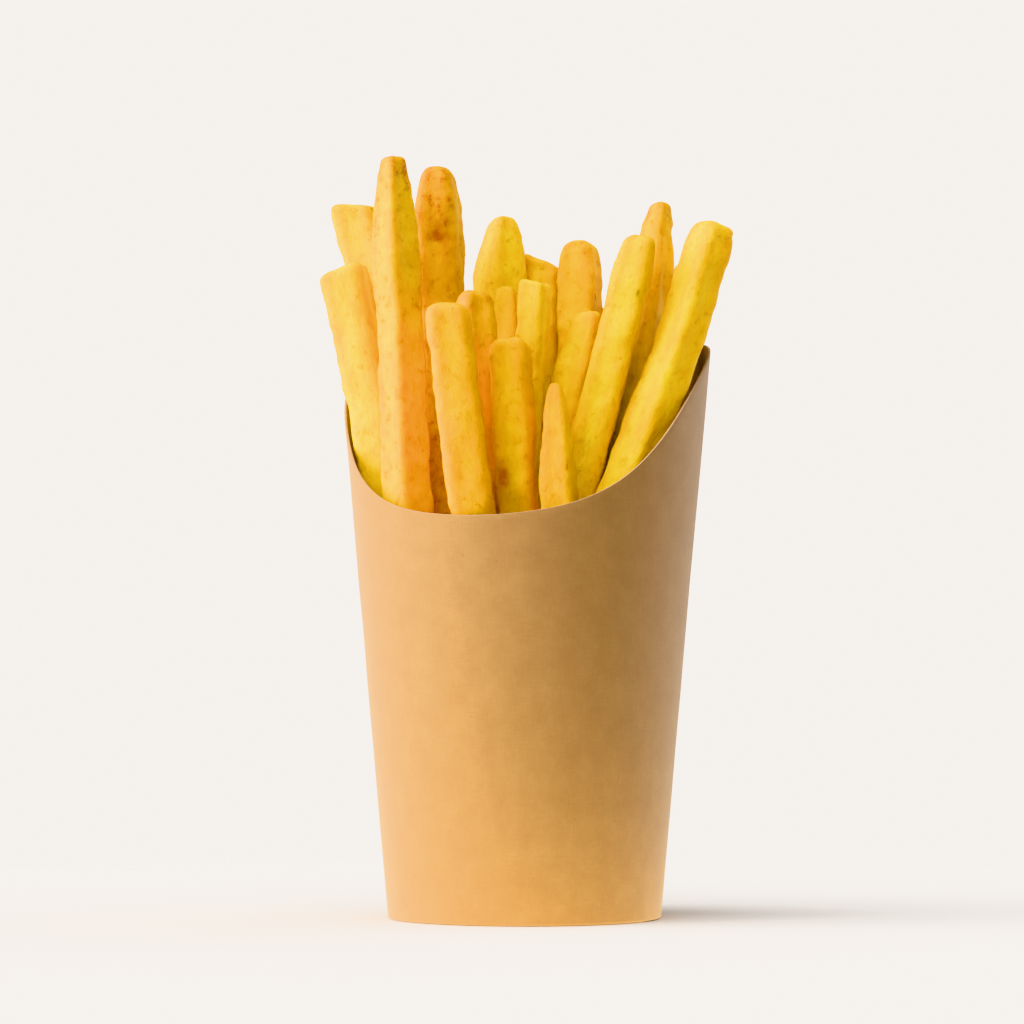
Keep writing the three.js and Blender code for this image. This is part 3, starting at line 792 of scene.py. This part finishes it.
# One fry's skin. Rings run up the shaft, over the rounded end by a quarter circle, and
# across the end to a point in the middle. Every ring is the section, scaled, turned by the
# twist and put on the fry's bent axis, then pushed along its normals by the relief.
def frySkin(fry, number, corner, side, step):
    spot, normal, near, across, which = frySection(*fry.size, fry.corner, corner, side)
    rounding, foot = fry.round, heap["foot"]
    shaftTop = fry.top - rounding
    hidden = min(heap["mouth"] - 3, shaftTop - 4 * step)
    shaft = np.concatenate([
        np.linspace(foot, hidden, 4, endpoint=False),
        np.linspace(hidden, shaftTop, max(4, round((shaftTop - hidden) / step)), endpoint=False),
    ])
    over = np.radians(np.linspace(0, 90, corner + 2))
    inward = np.linspace(1, 0, side // 2 + 2)[1:-1]
    ends = np.ones(len(inward))
    height = np.concatenate([shaft, shaftTop + rounding * np.sin(over), ends * fry.top])
    inset = np.concatenate([0 * shaft, rounding * (1 - np.cos(over)), ends * rounding])
    inner = np.concatenate([np.ones(len(shaft) + len(over)), inward])
    upward = np.concatenate([0 * shaft, np.sin(over), ends])[:, None]
    below = fry.top - height
    scale = taperAt(fry, below) - 2 * inset / fry.size[0]
    scale += crust["uneven"] * bumpsUp(height, number * 17.3, crust["unevenLength"], 11)
    scale = (scale * inner)[:, None]
    # sides swell and sink: a slow bump along each one, highest halfway across it
    swell = bumpsUp(height[:, None], which * 31.7 + number * 7.9, crust["puffLength"], 12)
    puffed = crust["puff"] * across * (swell - 0.25) * (1 - upward)
    u = spot[:, 0] * scale + normal[:, 0] * puffed
    v = spot[:, 1] * scale + normal[:, 1] * puffed
    offset = np.array([number * 23.7, number * 41.3, number * 9.1])
    grain = np.stack([u, v, height[:, None] + 0 * u], -1) + offset
    relief = sum(depth * bumps(grain, size, seed)
                 for seed, (depth, size) in enumerate(crust["relief"], 1))
    outward = np.sqrt(1 - upward ** 2)
    u = u + normal[:, 0] * relief * outward
    v = v + normal[:, 1] * relief * outward
    along = (height - heap["mouth"]) / (fry.top - heap["mouth"])
    twist = crust["twist"] * (2 * spread(number, share["bow"]) - 1) * along[:, None]
    turn = np.radians(fry.face + twist)
    x = u * np.cos(turn) - v * np.sin(turn)
    y = u * np.sin(turn) + v * np.cos(turn)
    nearTip = np.clip(1 - below / heap["slantReach"], 0, None)[:, None]
    drop = fry.slant * nearTip * (0.5 + x / fry.size[0])
    middleX, middleY = axisAt(fry, height)
    sway = crust["meander"] * bumpsUp(height, number * 5.3, crust["meanderLength"], 13)
    points = np.stack([
        x + (middleX + sway)[:, None], y + middleY[:, None],
        height[:, None] - drop + relief * upward,
    ], -1)
    rows, columns = u.shape
    pole = [[middleX[-1] + sway[-1], middleY[-1], fry.top - fry.slant / 2 + relief[-1].mean()]]
    values = fryTones(fry, x, y, height[:, None], near, inner[:, None] < 1, grain)
    faces = [ringFaces(rows, columns), capFaces((rows - 1) * columns, columns, rows * columns),
             np.arange(columns)[None, ::-1]]
    return np.concatenate([points.reshape(-1, 3), pole]), faces, values


# One piece of several fries, numbered from first on.
def fryPiece(name, lot, first, corner, side, step):
    skins = [frySkin(fry, first + i, corner, side, step) for i, fry in enumerate(lot)]
    return meshOf(name, *joined(skins), potatoMaterial)


# Between the fries that show: the cup's packed middle, and the ends of buried fries that
# stand up out of it.
buried = {"spacing": 8.6, "reach": 30, "clearance": 5.5, "lowest": 85, "rise": 9, "width": 8.4}


# A plug with a domed top: rings at (radius, height) from the middle of the foot out, up the
# side, and in over a quarter ellipse.
def packedMiddle():
    foot = cup["baseHeight"] + cup["gap"]
    shoulder = heap["coreTop"] - heap["coreSwell"]
    dome = 2 * heap["coreSwell"]
    out = np.linspace(0.1, 1, 8)[:-1]
    side = np.linspace(foot, shoulder, 20)
    inward = np.linspace(1, 0, 14)[1:-1]
    radius = np.concatenate([
        out * (innerRadius(foot) - cup["gap"]), innerRadius(side) - cup["gap"],
        inward * (innerRadius(shoulder) - cup["gap"]),
    ])[:, None]
    height = np.concatenate([
        np.full(len(out), foot), side, shoulder + dome * np.sqrt(1 - inward ** 2),
    ])[:, None]
    columns = 90
    azimuth = np.linspace(0, 360, columns, endpoint=False)[None, :]
    spot = polar(azimuth, radius)
    points = np.concatenate([spot, height[..., None] + 0 * spot[..., :1]], -1).reshape(-1, 3)
    count = len(points)
    points = np.concatenate([points, [[0, 0, foot], [0, 0, shoulder + dome]]])
    relief = heap["coreRelief"] * bumps(points, heap["coreBump"], 21)
    points[:, 2] += np.where(points[:, 2] > shoulder + 1, relief, 0)
    faces = [
        ringFaces(len(radius), columns),
        capFaces(0, columns, count)[:, ::-1],
        capFaces(count - columns, columns, count + 1),
    ]
    same = np.ones(len(points))
    values = {"grain": points, "tone": 0.7 * same, "edge": 0 * same, "toast": 0.3 * same}
    return points, faces, values


# Upright ends on a triangular lattice, wherever no fry is near.
def buriedFries(fries):
    rowStep = buried["spacing"] * math.sin(math.pi / 3)
    rows = math.ceil(buried["reach"] / rowStep)
    found = []
    for row in range(-rows, rows + 1):
        for column in range(-rows, rows + 1):
            x = column * buried["spacing"] + (buried["spacing"] / 2 if row % 2 else 0)
            y = row * rowStep
            index = len(found) + 1
            if math.hypot(x, y) > buried["reach"] or nearestFry(fries, x, y) < buried["clearance"]:
                continue
            top = buried["lowest"] + buried["rise"] * spread(index, share["height"])
            place = (azimuthOf(x, y), math.hypot(x, y))
            found.append(makeFry({
                "mouth": place, "tip": (*place, top), "size": (buried["width"], buried["width"]),
                "face": 90 * spread(index, share["face"]), "slant": 2, "tone": 0.5, "toast": 0.2,
            }))
    return found


fryPieces = [
    fryPiece("fries_standing", fries[:placed], 1, corner=5, side=6, step=1.0),
    fryPiece("fries_filling", fries[placed:tall], 101, corner=4, side=4, step=1.3),
    fryPiece("fries_short", fries[tall:], 201, corner=3, side=4, step=1.5),
]
stubs = [frySkin(fry, 301 + i, 2, 3, 1.5) for i, fry in enumerate(buriedFries(fries))]
fryPieces.append(meshOf("fries_packed", *joined([packedMiddle()] + stubs), potatoMaterial))
for piece in fryPieces:
    triangles = sum(len(face.vertices) - 2 for face in piece.data.polygons)
    print("made", piece.name, triangles, "triangles")


# Plain pale floor and soft light from the left, with a faint one from behind on the right.
# Each lamp's turn is from the camera, its height above the floor, and its spread across it,
# all in degrees.
studio = {
    "ground": (1.222, 1.176, 1.133),     # comes out as #F5F1ED
    "sunTurn": -82, "sunHeight": 6, "sunStrength": 7.1, "sunSpread": 66,
    "fillTurn": 122, "fillHeight": 6, "fillStrength": 1.7, "fillSpread": 40,
    "topTurn": -35, "topHeight": 60, "topStrength": 3.8, "topSpread": 70,
    "sky": 0.38,
    "cardWidth": 0.17, "cardAside": -0.02, "cardPower": 0.15, "cardColour": "#FFF4C4",
    "floorReach": 0.28,        # m, a small round table
}
# The camera stands a little to the right of the lip, low down, and looks slightly up.
camera = {
    "distance": 0.8, "azimuth": 16, "height": 0.05065,    # metres and degrees
    "lens": 122.2, "sensor": 36,                          # mm
    "aim": 0.0929, "aside": -0.00288,                     # height and sideways, in metres
}


# A round lamp so far off that only its direction counts, turned from the camera's azimuth.
def sun(name, turn, height, strength, size):
    light = bpy.data.objects.new(name, bpy.data.lights.new(name, "SUN"))
    light.data.energy = strength
    light.data.angle = math.radians(size)
    x, y = polar(camera["azimuth"] + turn, math.cos(math.radians(height))).tolist()
    way = Vector((x, y, math.sin(math.radians(height))))
    light.rotation_euler = way.to_track_quat("Z", "Y").to_euler()
    scene.collection.objects.link(light)


lamps = ("sun", "fill", "top")
for lamp in lamps:
    sun(lamp, *(studio[lamp + key] for key in ("Turn", "Height", "Strength", "Spread")))

# a lit disc on the floor round the cup, for the light that a bright table throws back up
card = bpy.data.objects.new("card", bpy.data.lights.new("card", "AREA"))
card.data.shape = "DISK"
card.data.size = studio["cardWidth"]
card.data.energy = studio["cardPower"]
card.data.color = linear(studio["cardColour"])[:3]
card.rotation_euler = (math.pi, 0, 0)
card.location = (*polar(camera["azimuth"] + 90, studio["cardAside"]).tolist(), 0)
card.visible_camera = False
scene.collection.objects.link(card)

# an even pale sky lights the cup, and the camera sees the ground's colour all round
world = bpy.data.worlds.new("studio")
scene.world = world
world.use_nodes = True
tree = world.node_tree
lit = tree.nodes["Background"]
lit.inputs["Color"].default_value = (1, 1, 1, 1)
lit.inputs["Strength"].default_value = studio["sky"]
seen = addNode(tree, "Background", {"Color": (*studio["ground"], 1), "Strength": 1.0})
path = addNode(tree, "LightPath")
both = addNode(tree, "MixShader", {
    0: path.outputs["Is Camera Ray"], 1: lit.outputs[0], 2: seen.outputs[0],
})
tree.links.new(both.outputs[0], tree.nodes["World Output"].inputs["Surface"])


# The light that a wide round lamp throws on the floor, as a share of its own: the mean of
# sin(height) over its disc, where it is above the floor.
def floorShare(height, size):
    around = np.linspace(0, 2 * np.pi, 48, endpoint=False)
    ring, turn = np.meshgrid(np.linspace(0.05, 0.95, 10), around)
    level = np.radians(height + size / 2 * np.sqrt(ring) * np.sin(turn))
    return np.clip(np.sin(level), 0, None).mean()


# the floor's colour is worked out so that, lit, it comes out as the ground
light = studio["sky"]
for lamp in lamps:
    thrown = floorShare(studio[lamp + "Height"], studio[lamp + "Spread"])
    light += studio[lamp + "Strength"] / math.pi * thrown
floorColour = [c / light for c in studio["ground"]]
floorMaterial, _, floorShader = newMaterial("floor", Roughness=1.0)
floorShader.inputs["Base Color"].default_value = (*floorColour, 1)
floorShader.inputs["Specular IOR Level"].default_value = 0
rim = polar(-np.arange(0, 360, 3), studio["floorReach"]).tolist()
floorMesh = bpy.data.meshes.new("floor")
floorMesh.from_pydata([(x, y, 0) for x, y in rim[::-1]], [], [range(len(rim))])
floorMesh.materials.append(floorMaterial)
floor = bpy.data.objects.new("floor", floorMesh)
floor.location.z = -0.0002
scene.collection.objects.link(floor)
print("floor light", round(light, 3), "floor colour", [round(c, 3) for c in floorColour])

lens = bpy.data.cameras.new("camera")
lens.lens = camera["lens"]
lens.sensor_width = camera["sensor"]
lens.clip_end = 100
eye = bpy.data.objects.new("camera", lens)
spotX, spotY = polar(camera["azimuth"], camera["distance"]).tolist()
eye.location = (spotX, spotY, camera["height"])
rightX, rightY = polar(camera["azimuth"] + 90, camera["aside"]).tolist()
aim = Vector((rightX, rightY, camera["aim"]))
eye.rotation_euler = (eye.location - aim).to_track_quat("Z", "Y").to_euler()
scene.collection.objects.link(eye)
scene.camera = eye
scene.view_settings.view_transform = "Khronos PBR Neutral"
print("studio set")


for piece in fryPieces:
    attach(piece, "root")
    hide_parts("fries")
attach(paperWallPiece, "root")
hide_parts("cup_wall")
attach(paperBasePiece, "root")
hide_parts("cup_base")
